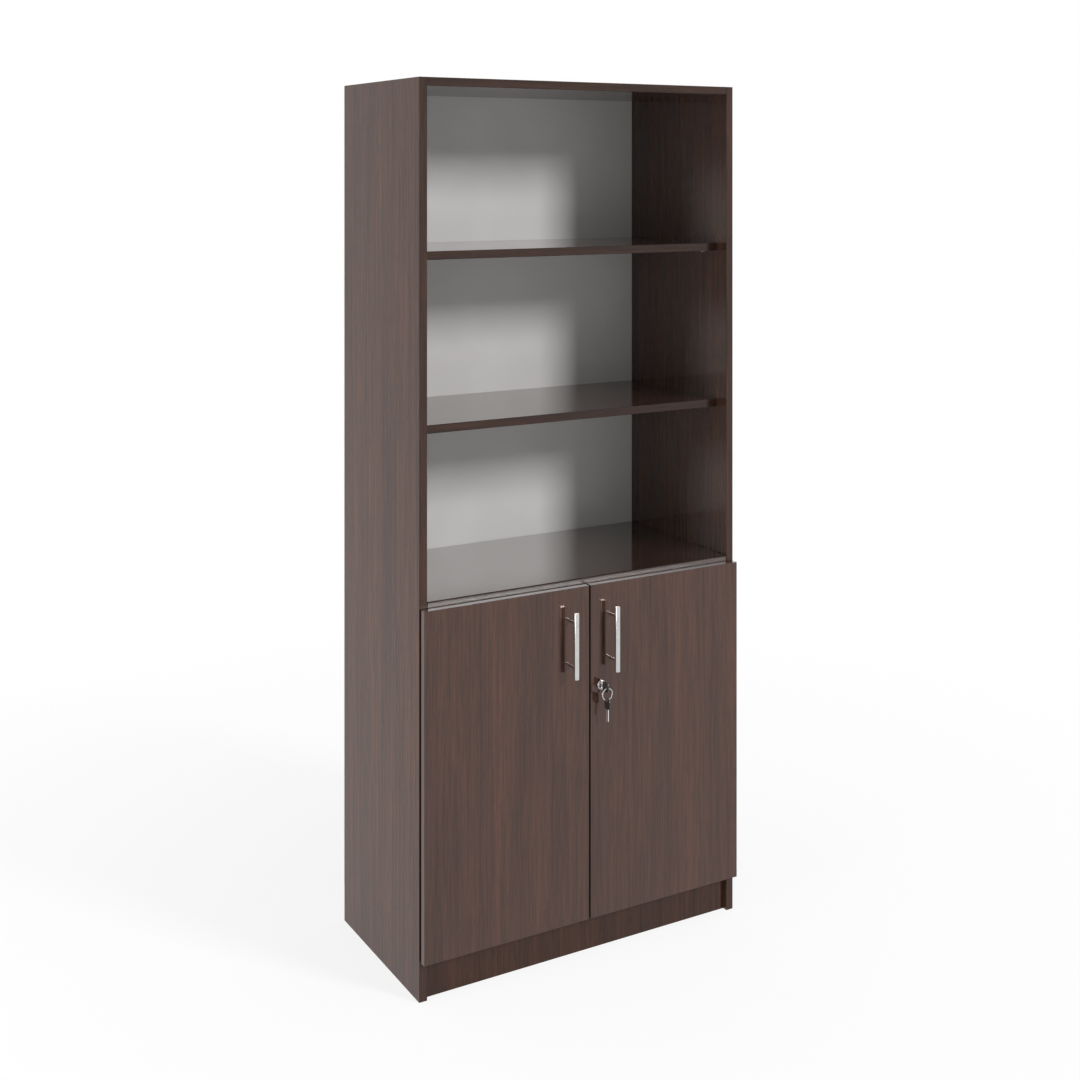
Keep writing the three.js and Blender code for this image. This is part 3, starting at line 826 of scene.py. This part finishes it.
def key_blade(node, length_axis, width_axis):
    """A flat blade with a groove on each side and cuts along one edge, from its end in the bow to its tip."""
    along, across = Vector(length_axis), Vector(width_axis)
    flat = along.cross(across)
    length = abs(size(node).dot(along))
    half = abs(size(node).dot(across)) / 2
    thick = abs(size(node).dot(flat)) / 2
    start = centre(node) - along * length / 2

    def station(share, cut, left=1.0):
        """The blade's outline at a share of its length, with its edge cut and a part of its section left."""
        edge = half * (1 - DEEPEST_CUT_SHARE * cut)
        groove = [(w * half, depth * GROOVE_DEPTH_SHARE * thick) for w, depth in GROOVE]
        line = [(-half, 0), *groove, (edge, 0)]
        points = [(w * left, -thick + depth * left) for w, depth in line]
        points += [(w * left, thick - depth * left) for w, depth in reversed(line)]
        return [start + along * length * share + across * w + flat * t for w, t in points]

    step = (CUT_END_SHARE - CUT_START_SHARE) / (len(CUTS) - 1)
    stations = [station(0, 0)]
    stations += [station(CUT_START_SHARE + step * i, cut) for i, cut in enumerate(CUTS)]
    stations += [station(*place) for place in TIP]
    stand_in(node, finished(sections(stations), angle=BLADE_SMOOTH_DEG), KEY_STEEL)


def key_bow(node):
    """A moulded bow with a low rim around its two faces and around the hole."""
    bow = refine(node, PLASTIC, BOW_ROUNDING)
    work = bmesh.new()
    work.from_mesh(bow.data)
    for direction in (-RIGHT, RIGHT):
        faces = [face for face in work.faces if face.normal.dot(direction) > FACING]
        bmesh.ops.inset_region(work, faces=faces, thickness=BOW_RIM_WIDTH, depth=0, use_even_offset=True)
        inner = [face for face in faces if face.is_valid]
        for vertex in {vertex for face in inner for vertex in face.verts}:
            vertex.co -= direction * BOW_RIM_HEIGHT
    work.to_mesh(bow.data)
    work.free()
    smooth(bow.data)


key_blade("key_blade", BACK, UP)
key_blade("spare_key_blade", -UP, BACK)
key_bow("key_bow")
key_bow("spare_key_bow")


# Lock

BARREL_RADIUS = 9 * MM
BORE_RADIUS = 6.15 * MM
FLANGE_THICKNESS = 2.5 * MM
FLANGE_ROUNDING = 1.3 * MM
# The step round the plug, as distances out from the bore and down from the flange's face
PLUG_STEP = ((1.9 * MM, 0), (1.6 * MM, 0.35 * MM), (0.2 * MM, 0.45 * MM), (0, 0.6 * MM))
PLUG_ROUNDING = 0.25 * MM
LOCK_SEGMENTS = 96


def lock_housing():
    """A hollow barrel behind a round flange that steps down to the plug."""
    node = "lock_housing"
    length = size(node).y
    flange = size(node).x / 2
    flange_back = length - FLANGE_THICKNESS
    profile = [
        (BORE_RADIUS, 0),
        (BARREL_RADIUS, 0),
        (BARREL_RADIUS, flange_back),
        (flange, flange_back),
        *arc(flange - FLANGE_ROUNDING, length - FLANGE_ROUNDING, FLANGE_ROUNDING, 0, 80, 8),
        *((BORE_RADIUS + out, length - down) for out, down in PLUG_STEP),
        (BORE_RADIUS, 0),
    ]
    place = (centre(node).x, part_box(node)[1].y, centre(node).z)
    stand_in(node, lathe(profile, place, FRONT, LOCK_SEGMENTS), NICKEL)


lock_housing()
refine("lock_plug", NICKEL, PLUG_ROUNDING)


# Handles and shelf pins

BAR_ROUNDING = 0.8 * MM
POST_ROUNDING = 0.2 * MM
PIN_ROUNDING = 0.6 * MM
BAR_SEGMENTS = 96
ROD_SEGMENTS = 48


def rod(node, axis, material, rounding, segments=ROD_SEGMENTS):
    """A round bar in the place of a CAD node, with rounded ends."""
    index = [abs(part) for part in axis].index(1)
    half = size(node)[index] / 2
    radius = size(node)[(index + 1) % 3] / 2
    profile = [
        (0, -half),
        *arc(radius - rounding, -half + rounding, rounding, -90, 0),
        *arc(radius - rounding, half - rounding, rounding, 0, 90),
        (0, half),
    ]
    stand_in(node, lathe(profile, centre(node), axis, segments), material)


for side in SIDES:
    rod(f"handle_bar_{side}", UP, NICKEL, BAR_ROUNDING, BAR_SEGMENTS)
    for end in ENDS:
        rod(f"handle_post_{side}_{end}", BACK, NICKEL, POST_ROUNDING)
for node in frame["nodes"]:
    if node.startswith("pin_"):
        rod(node, RIGHT, SATIN, PIN_ROUNDING)


# Camera, at the photograph's viewpoint

CAMERA_PLACE = (-1.737, -2.9925, 1.708)
CAMERA_TURN_DEG = 29.92
FOCAL_LENGTH_MM = 50.57
SENSOR_MM = 36
LOOK_DOWN_SLOPE = 0.2438


def make_camera():
    """A camera that looks a little down while uprights stay parallel, as with a view camera. The slope of its
    axis is in the rig and not in the lens, so that the camera is a plain centred one where it is moved."""
    turn = math.radians(-CAMERA_TURN_DEG)
    right = Vector((math.cos(turn), math.sin(turn), 0))
    back = right.cross(UP) + UP * LOOK_DOWN_SLOPE
    rig = bpy.data.objects.new("camera_rig", None)
    camera = bpy.data.objects.new("camera", bpy.data.cameras.new("camera"))
    for item in (rig, camera):
        bpy.context.scene.collection.objects.link(item)
    camera.parent = rig
    axes = Matrix((right, UP, back.normalized())).transposed().to_4x4()
    camera.matrix_parent_inverse = Matrix.Translation(CAMERA_PLACE) @ axes
    camera.data.sensor_width = SENSOR_MM
    camera.data.lens = FOCAL_LENGTH_MM * back.length
    bpy.context.scene.camera = camera


make_camera()


# World and floor

# Strength of the white world as a light
AMBIENT = 0.54
FLOOR_REACH = 40
FLOOR_DROP = 0.5 * MM
FLOOR_COLOUR = (0.92, 0.92, 0.92)
# How much of the floor's colour gives way to plain white, near the object and far from it
NEAR_DISTANCE = 0.7
NEAR_CLEARNESS = 0.82
FAR_DISTANCE = 2.4
FAR_CLEARNESS = 1.0


def seen_directly(tree):
    """1 for rays from the camera, a mirror or glass, and 0 for the light that falls on the object."""
    path = tree.nodes.new("ShaderNodeLightPath")
    total = path.outputs["Is Camera Ray"]
    for name in ("Is Glossy Ray", "Is Transmission Ray"):
        node = tree.nodes.new("ShaderNodeMath")
        node.operation = "MAXIMUM"
        tree.links.new(total, node.inputs[0])
        tree.links.new(path.outputs[name], node.inputs[1])
        total = node.outputs[0]
    return total


def make_world():
    """Plain white where it is seen, and a weaker light on the object."""
    world = bpy.data.worlds.new("studio")
    bpy.context.scene.world = world
    world.use_nodes = True
    tree = world.node_tree
    background = tree.nodes["Background"]
    background.inputs["Color"].default_value = (1, 1, 1, 1)
    strength = tree.nodes.new("ShaderNodeMapRange")
    set_inputs(strength, {"To Min": AMBIENT, "To Max": 1.0})
    tree.links.new(seen_directly(tree), strength.inputs["Value"])
    tree.links.new(strength.outputs["Result"], background.inputs["Strength"])


def floor_paint():
    """A pale floor that keeps a weak shadow near the object and is plain white further out."""
    nodes = Nodes("floor_paint")
    set_inputs(nodes.shader, {"Base Color": (*FLOOR_COLOUR, 1), "Roughness": 0.9, "Specular IOR Level": 0.0})
    glow = nodes.add("ShaderNodeEmission")
    set_inputs(glow, {"Strength": 1.0})
    distance = nodes.add("ShaderNodeVectorMath", operation="LENGTH")
    nodes.link(nodes.place, distance.inputs[0])
    clear = nodes.span(distance.outputs["Value"], NEAR_CLEARNESS, FAR_CLEARNESS, NEAR_DISTANCE, FAR_DISTANCE)
    share = nodes.add("ShaderNodeMath", operation="MULTIPLY")
    nodes.link(clear, share.inputs[0])
    nodes.link(seen_directly(nodes.tree), share.inputs[1])
    blend = nodes.add("ShaderNodeMixShader")
    nodes.link(share.outputs[0], blend.inputs["Fac"])
    nodes.link(nodes.shader.outputs["BSDF"], blend.inputs[1])
    nodes.link(glow.outputs["Emission"], blend.inputs[2])
    nodes.link(blend.outputs["Shader"], nodes.tree.nodes["Material Output"].inputs["Surface"])
    return nodes.material


def make_floor():
    """A wide floor just under the object."""
    mesh = bpy.data.meshes.new("floor")
    corners = [(x * FLOOR_REACH, y * FLOOR_REACH, 0) for x, y in ((-1, -1), (1, -1), (1, 1), (-1, 1))]
    mesh.from_pydata(corners, [], [(0, 1, 2, 3)])
    mesh.materials.append(floor_paint())
    floor = bpy.data.objects.new("floor", mesh)
    floor.location.z = -FLOOR_DROP
    bpy.context.scene.collection.objects.link(floor)


make_world()
make_floor()


# Lamps, with angles in degrees and power in watts

KEY_LAMP = {
    "azimuth": 29.3,
    "elevation": 24.7,
    "distance": 16,
    "width": 3.1,
    "height": 3.5,
    "power": 2040,
    "target": (0, 0, 1.1),
}
FILL_LAMP = {
    "azimuth": -82,
    "elevation": 6,
    "distance": 3.2,
    "width": 1.8,
    "height": 1.8,
    "power": 58,
    "target": (-0.4, 0, 0.45),
}


def make_lamp(name, azimuth, elevation, distance, width, height, power, target):
    """A soft box at an azimuth to the right of the front, aimed at the target."""
    lamp = bpy.data.objects.new(name, bpy.data.lights.new(name, "AREA"))
    lamp.data.shape = "RECTANGLE"
    lamp.data.size = width
    lamp.data.size_y = height
    lamp.data.energy = power
    turn, rise = math.radians(azimuth), math.radians(elevation)
    away = Vector((math.sin(turn) * math.cos(rise), -math.cos(turn) * math.cos(rise), math.sin(rise)))
    lamp.location = Vector(target) + away * distance
    lamp.rotation_euler = away.to_track_quat("Z", "Y").to_euler()
    bpy.context.scene.collection.objects.link(lamp)


make_lamp("key", **KEY_LAMP)
make_lamp("fill", **FILL_LAMP)

view = bpy.context.scene.view_settings
view.view_transform = "Standard"
